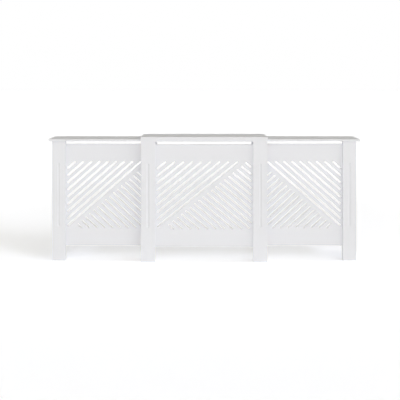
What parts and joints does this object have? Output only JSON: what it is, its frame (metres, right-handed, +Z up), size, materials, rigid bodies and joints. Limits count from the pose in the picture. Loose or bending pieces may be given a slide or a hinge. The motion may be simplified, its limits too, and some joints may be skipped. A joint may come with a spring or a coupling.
{
  "type": "radiator cover cabinet",
  "caption": "Telescopic radiator cover with diagonal slotted grilles: a raised centre section and lower side sections that slide in behind it, with shelf tops and end panels that meet the wall.",
  "frame": {"origin": "on the floor, under the middle of the cover and halfway between its face and the wall", "axes": "+X along the cover, to the right of someone who faces it; +Y towards the wall; +Z up"},
  "size_m": [2.03, 0.19, 0.81],
  "materials": {
    "white_paint": "satin white paint on fibreboard",
    "beech": "bare beech",
    "grey_felt": "pressed felt",
    "zinc_steel": "bright zinc plate",
    "white_plastic": "moulded white plastic"
  },
  "bodies": {
    "centre": {"centre_dowels": "beech", "centre_fascia": "white_paint", "centre_grille_panel": "white_paint", "centre_guide_screws": "zinc_steel", "centre_left_glide_strip": "grey_felt", "centre_right_glide_strip": "grey_felt", "centre_left_lower_guide": "beech", "centre_right_lower_guide": "beech", "centre_left_stile": "white_paint", "centre_right_stile": "white_paint", "centre_left_upper_guide": "beech", "centre_right_upper_guide": "beech", "centre_panel_screws": "zinc_steel", "centre_top": "white_paint"},
    "left_section": {"left_block_screws": "zinc_steel", "left_bracket_screws": "zinc_steel", "left_corner_blocks": "white_plastic", "left_dowels": "beech", "left_end_panel": "white_paint", "left_grille_panel": "white_paint", "left_panel_screws": "zinc_steel", "left_stile": "white_paint", "left_top": "white_paint", "left_wall_bracket": "zinc_steel"},
    "right_section": {"right_block_screws": "zinc_steel", "right_bracket_screws": "zinc_steel", "right_corner_blocks": "white_plastic", "right_dowels": "beech", "right_end_panel": "white_paint", "right_grille_panel": "white_paint", "right_panel_screws": "zinc_steel", "right_stile": "white_paint", "right_top": "white_paint", "right_wall_bracket": "zinc_steel"}
  },
  "joints": [
    {"name": "left_slide", "type": "slide", "parent": "centre", "child": "left_section", "axis": [1, 0, 0], "range_m": [0, 0.305]},
    {"name": "right_slide", "type": "slide", "parent": "centre", "child": "right_section", "axis": [-1, 0, 0], "range_m": [0, 0.305]}
  ]
}
